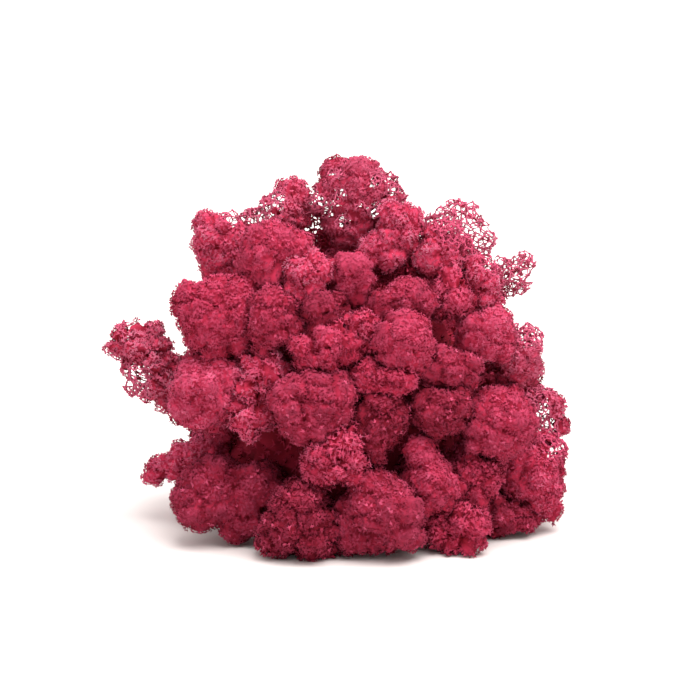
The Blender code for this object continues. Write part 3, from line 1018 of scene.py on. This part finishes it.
def moss_material(name, pale_colour, tip_colour, middle_colour, stem_colour):
    """Dyed moss: deep crimson inside, partly its own colour and partly painted shade, paler at the
    tips, each twig a little different.
    """
    material = bpy.data.materials.new(name)
    material.use_nodes = True
    nodes, links = material.node_tree.nodes, material.node_tree.links
    shader = nodes["Principled BSDF"]
    shader.inputs["Roughness"].default_value = MOSS_ROUGHNESS
    shader.inputs["Specular IOR Level"].default_value = MOSS_SHINE
    places = nodes.new("ShaderNodeUVMap")
    places.uv_map = "OFBake"
    parts = nodes.new("ShaderNodeSeparateXYZ")
    depth_ramp = nodes.new("ShaderNodeValToRGB")
    ramp = depth_ramp.color_ramp
    stem, palest = ramp.elements
    stem.position, stem.color = STEM_AT, (*stem_colour, 1)
    palest.position, palest.color = 1.0, (*pale_colour, 1)
    middle = ramp.elements.new(MIDDLE_AT)
    middle.color = (*middle_colour, 1)
    tip = ramp.elements.new(TIP_AT)
    tip.color = (*tip_colour, 1)
    tone_ramp = nodes.new("ShaderNodeValToRGB")
    dark, pale = tone_ramp.color_ramp.elements
    dark.position, dark.color = 0.0, (*DARK_TINT, 1)
    pale.position, pale.color = 1.0, (1.0, 1.0, 1.0, 1)
    common = tone_ramp.color_ramp.elements.new(COMMON_AT)
    common.color = (*COMMON_TINT, 1)
    blend = nodes.new("ShaderNodeMix")
    blend.data_type = "RGBA"
    blend.blend_type = "MULTIPLY"
    blend.inputs["Factor"].default_value = 1.0
    links.new(places.outputs["UV"], parts.inputs["Vector"])
    links.new(parts.outputs["X"], depth_ramp.inputs["Fac"])
    links.new(parts.outputs["Y"], tone_ramp.inputs["Fac"])
    links.new(depth_ramp.outputs["Color"], blend.inputs["A"])
    links.new(tone_ramp.outputs["Color"], blend.inputs["B"])
    links.new(blend.outputs["Result"], shader.inputs["Base Color"])
    return material


def floor_material():
    material = bpy.data.materials.new("white_floor")
    material.use_nodes = True
    shader = material.node_tree.nodes["Principled BSDF"]
    shader.inputs["Base Color"].default_value = (*FLOOR_COLOUR, 1)
    shader.inputs["Roughness"].default_value = FLOOR_ROUGHNESS
    return material


def make_camera():
    data = bpy.data.cameras.new("camera")
    data.sensor_width = SENSOR_WIDTH
    data.lens = SENSOR_WIDTH / 2 / math.tan(FIELD_OF_VIEW / 2)
    camera = bpy.data.objects.new("camera", data)
    back = Vector((0, -math.cos(CAMERA_ELEVATION), math.sin(CAMERA_ELEVATION)))
    camera.location = CAMERA_AIM + back * CAMERA_DISTANCE
    camera.rotation_mode = "QUATERNION"
    camera.rotation_quaternion = back.to_track_quat("Z", "Y")
    bpy.context.scene.collection.objects.link(camera)
    bpy.context.scene.camera = camera


def make_lamp():
    data = bpy.data.lights.new("overhead_lamp", "SUN")
    data.energy = LAMP_STRENGTH
    data.angle = LAMP_SOFTNESS
    lamp = bpy.data.objects.new("overhead_lamp", data)
    lamp.location = Vector(LAMP_DIRECTION)
    lamp.rotation_mode = "QUATERNION"
    lamp.rotation_quaternion = Vector(LAMP_DIRECTION).to_track_quat("Z", "Y")
    bpy.context.scene.collection.objects.link(lamp)


def make_studio():
    """A white floor under a white sky that is brightest overhead, and one soft light."""
    world = bpy.data.worlds.new("studio")
    world.use_nodes = True
    nodes, links = world.node_tree.nodes, world.node_tree.links
    direction = nodes.new("ShaderNodeTexCoord")
    parts = nodes.new("ShaderNodeSeparateXYZ")
    height = nodes.new("ShaderNodeMapRange")
    height.inputs["From Min"].default_value = SKY_RISES_AT
    height.inputs["From Max"].default_value = 1.0
    height.inputs["To Min"].default_value = SKY_LOW
    height.inputs["To Max"].default_value = SKY_OVERHEAD
    links.new(direction.outputs["Generated"], parts.inputs["Vector"])
    links.new(parts.outputs["Z"], height.inputs["Value"])
    links.new(height.outputs["Result"], nodes["Background"].inputs["Strength"])
    nodes["Background"].inputs["Color"].default_value = (1, 1, 1, 1)
    bpy.context.scene.world = world
    bpy.context.scene.view_settings.view_transform = "Standard"
    make_lamp()
    mesh = bpy.data.meshes.new("floor")
    mesh.from_pydata([(-FLOOR_REACH, -FLOOR_REACH, 0), (FLOOR_REACH, -FLOOR_REACH, 0),
                      (FLOOR_REACH, FLOOR_REACH, 0), (-FLOOR_REACH, FLOOR_REACH, 0)],
                     [], [(0, 1, 2, 3)])
    floor = bpy.data.objects.new("floor", mesh)
    floor.location.z = -FLOOR_DROP * MM
    mesh.materials.append(floor_material())
    bpy.context.scene.collection.objects.link(floor)


def main():
    noise.seed_set(SEED)
    make_camera()
    make_studio()
    names = sorted(frame["nodes"])
    skins = {name: smooth_skin(name) for name in names}
    shape = one_shape(skins)
    for name in names:
        skins[name] = grown(skins[name], shape)
    shape = one_shape(skins)
    low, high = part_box("stem_tangle")
    heart = np.array((low + high) / 2)
    looks = {name: moss_material(name, *colours) for name, colours in MOSS_COLOURS.items()}
    slots = {row["node"]: row["material_slot"] for row in frame["record"]["subparts"]}
    for name in names:
        points, normals, _ = skins[name]
        shares = open_sky(points, normals, shape, chance(name, "sky"))
        root = points[np.linalg.norm(points - heart, axis=1).argmin()]
        piece = make_plant(name, skins[name], shares, root, looks[slots[name]])


main()
